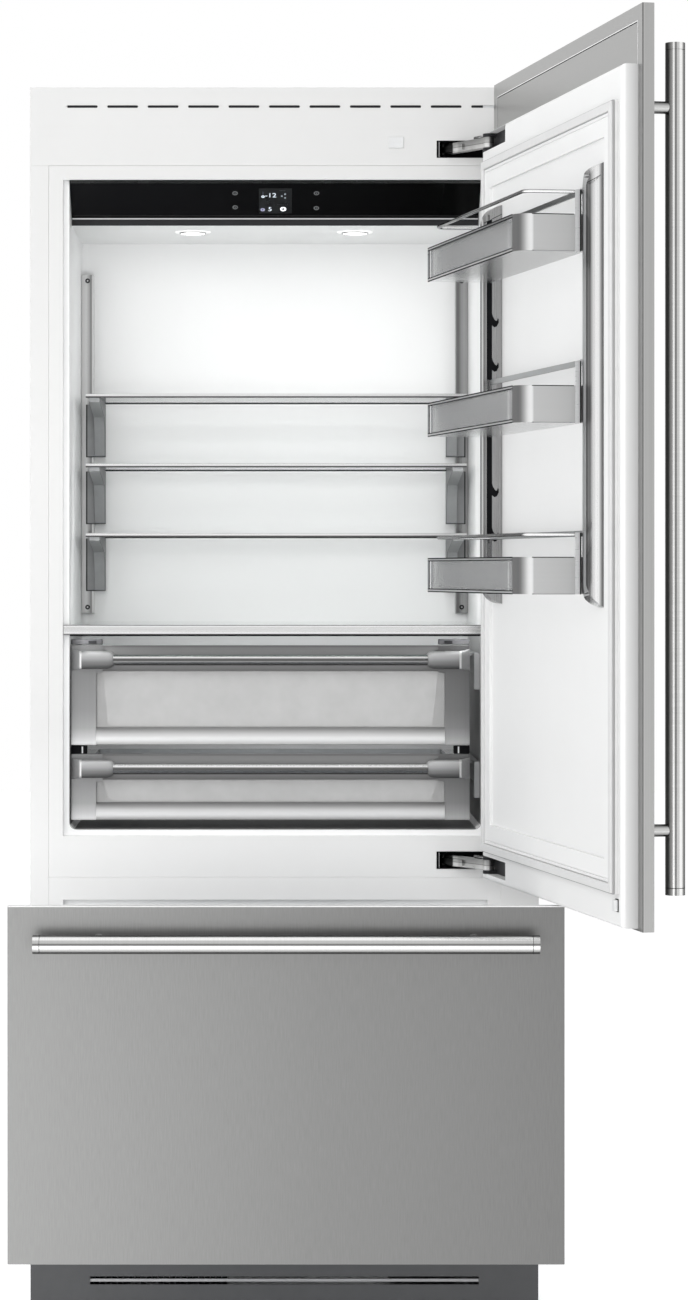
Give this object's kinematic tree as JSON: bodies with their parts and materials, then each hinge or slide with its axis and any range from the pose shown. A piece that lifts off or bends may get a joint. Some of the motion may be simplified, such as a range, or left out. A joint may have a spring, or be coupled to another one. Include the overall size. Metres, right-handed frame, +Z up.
{
  "type": "built-in refrigerator",
  "caption": "Built-in upright refrigerator with a hinged door carrying bins on columns, glass shelves and crispers, above a pull-out freezer drawer with bar handles.",
  "frame": {"origin": "on the floor, below the middle of the cabinet, in the plane of the cabinet front", "axes": "+X to the right seen from the front, +Y into the cabinet, +Z up"},
  "size_m": [1.0445, 1.4851, 2.125],
  "materials": {
    "white_front": "satin",
    "steel_front": "satin",
    "steel_bar": "satin",
    "white_liner": "gloss",
    "foam_filled_wall": "matte",
    "seal_rubber": "matte",
    "galvanised_sheet": "satin",
    "black_glass": "gloss",
    "clear_glass": "gloss",
    "clear_plastic": "gloss",
    "satin_trim": "satin",
    "cast_hinge": "satin",
    "dark_plastic": "matte",
    "grey_plastic": "matte",
    "light_lens": "satin",
    "black_enamel": "satin",
    "coil_aluminium": "satin",
    "copper_pipe": "satin",
    "plinth_steel": "satin",
    "freezer_wire_plastic": "gloss"
  },
  "bodies": {
    "cabinet": {"base_frame": "galvanised_sheet", "cabinet_back": "foam_filled_wall", "cabinet_ceiling": "foam_filled_wall", "cabinet_divider": "foam_filled_wall", "cabinet_floor": "foam_filled_wall", "cabinet_side_left": "foam_filled_wall", "cabinet_side_right": "foam_filled_wall", "cabinet_top_plate": "galvanised_sheet", "ceiling_lights": "light_lens", "compressor": "black_enamel", "condenser": "coil_aluminium", "condenser_shroud": "dark_plastic", "control_housing": "dark_plastic", "control_panel": "black_glass", "crisper_cover_glass": "clear_glass", "crisper_cover_trim": "satin_trim", "fixed_slides": "grey_plastic", "freezer_duct_cover": "white_liner", "freezer_evaporator": "coil_aluminium", "freezer_liner": "white_liner", "fridge_liner": "white_liner", "front_header": "white_front", "front_trims": "white_front", "front_vent_strip": "white_front", "hinge_cases": "dark_plastic", "levelling_feet": "dark_plastic", "plinth": "plinth_steel", "rear_cover": "galvanised_sheet", "refrigerant_pipes": "copper_pipe", "shelf_rails": "satin_trim"},
    "hinge_arm_top": {"hinge_arm_top": "cast_hinge"},
    "hinge_arm_bottom": {"hinge_arm_bottom": "cast_hinge"},
    "door": {"door_panel": "steel_front", "door_body": "foam_filled_wall", "door_gasket": "seal_rubber", "door_handle": "steel_bar", "door_columns": "satin_trim", "door_hinge_plates": "cast_hinge"},
    "door_bin_1": {"door_bin_1": "clear_plastic"},
    "door_bin_2": {"door_bin_2": "clear_plastic"},
    "door_bin_3": {"door_bin_3": "clear_plastic"},
    "shelf_1": {"shelf_1": "clear_glass"},
    "shelf_2": {"shelf_2": "clear_glass"},
    "shelf_3": {"shelf_3": "clear_glass"},
    "crisper_upper": {"crisper_upper_frame": "satin_trim", "crisper_upper_tub": "clear_plastic", "crisper_upper_handle": "steel_bar"},
    "crisper_lower": {"crisper_lower_frame": "satin_trim", "crisper_lower_tub": "clear_plastic", "crisper_lower_handle": "steel_bar"},
    "freezer_drawer": {"freezer_panel": "steel_front", "freezer_body": "foam_filled_wall", "freezer_gasket": "seal_rubber", "freezer_handle": "steel_bar", "freezer_basket": "freezer_wire_plastic", "freezer_slide_moving": "cast_hinge"},
    "freezer_slide_middle": {"freezer_slide_middle": "cast_hinge"},
    "freezer_tray": {"freezer_tray": "freezer_wire_plastic"},
    "condenser_fan": {"condenser_fan": "dark_plastic"},
    "evaporator_fan": {"evaporator_fan": "dark_plastic"}
  },
  "joints": [
    {"name": "hinge_arm_top_turn", "type": "hinge", "parent": "cabinet", "child": "hinge_arm_top", "pos_m": [0.28, 0.015, 2.017], "axis": [0, 0, 1], "range_deg": [-4, 41.6]},
    {"name": "hinge_arm_bottom_turn", "type": "hinge", "parent": "cabinet", "child": "hinge_arm_bottom", "pos_m": [0.28, 0.015, 0.775], "axis": [0, 0, 1], "range_deg": [-4, 41.6]},
    {"name": "door_swing", "type": "hinge", "parent": "hinge_arm_top", "child": "door", "pos_m": [0.35065, -0.094, 2.017], "axis": [0, 0, 1], "range_deg": [-141.97, 13.65]},
    {"name": "door_bin_1_lift", "type": "slide", "parent": "door", "child": "door_bin_1", "axis": [0, 0, 1], "range_m": [0, 0.015]},
    {"name": "door_bin_2_lift", "type": "slide", "parent": "door", "child": "door_bin_2", "axis": [0, 0, 1], "range_m": [0, 0.015]},
    {"name": "door_bin_3_lift", "type": "slide", "parent": "door", "child": "door_bin_3", "axis": [0, 0, 1], "range_m": [0, 0.015]},
    {"name": "shelf_1_lift", "type": "slide", "parent": "cabinet", "child": "shelf_1", "axis": [0, 0, 1], "range_m": [0, 0.01]},
    {"name": "shelf_2_lift", "type": "slide", "parent": "cabinet", "child": "shelf_2", "axis": [0, 0, 1], "range_m": [0, 0.01]},
    {"name": "shelf_3_lift", "type": "slide", "parent": "cabinet", "child": "shelf_3", "axis": [0, 0, 1], "range_m": [0, 0.01]},
    {"name": "crisper_upper_slide", "type": "slide", "parent": "cabinet", "child": "crisper_upper", "axis": [0, -1, 0], "range_m": [0, 0.33]},
    {"name": "crisper_lower_slide", "type": "slide", "parent": "cabinet", "child": "crisper_lower", "axis": [0, -1, 0], "range_m": [0, 0.33]},
    {"name": "freezer_drawer_slide", "type": "slide", "parent": "cabinet", "child": "freezer_drawer", "axis": [0, -1, 0], "range_m": [-0.41795, 0.062]},
    {"name": "freezer_slide_middle_slide", "type": "slide", "parent": "cabinet", "child": "freezer_slide_middle", "axis": [0, -1, 0], "range_m": [-0.20897, 0.031]},
    {"name": "freezer_tray_slide", "type": "slide", "parent": "freezer_drawer", "child": "freezer_tray", "axis": [0, -1, 0], "range_m": [0, 0.085]},
    {"name": "condenser_fan_spin", "type": "hinge", "parent": "cabinet", "child": "condenser_fan", "pos_m": [-0.25, 0.158, 0.078], "axis": [0, 1, 0], "continuous": true},
    {"name": "evaporator_fan_spin", "type": "hinge", "parent": "cabinet", "child": "evaporator_fan", "pos_m": [-0.016, 0.362, 0.61], "axis": [0, 1, 0], "continuous": true}
  ],
  "couplings": [
    {"joint": "hinge_arm_top_turn", "follows": "door_swing", "ratio": -0.29302},
    {"joint": "hinge_arm_bottom_turn", "follows": "door_swing", "ratio": -0.29302},
    {"joint": "freezer_slide_middle_slide", "follows": "freezer_drawer_slide", "ratio": 0.5}
  ]
}
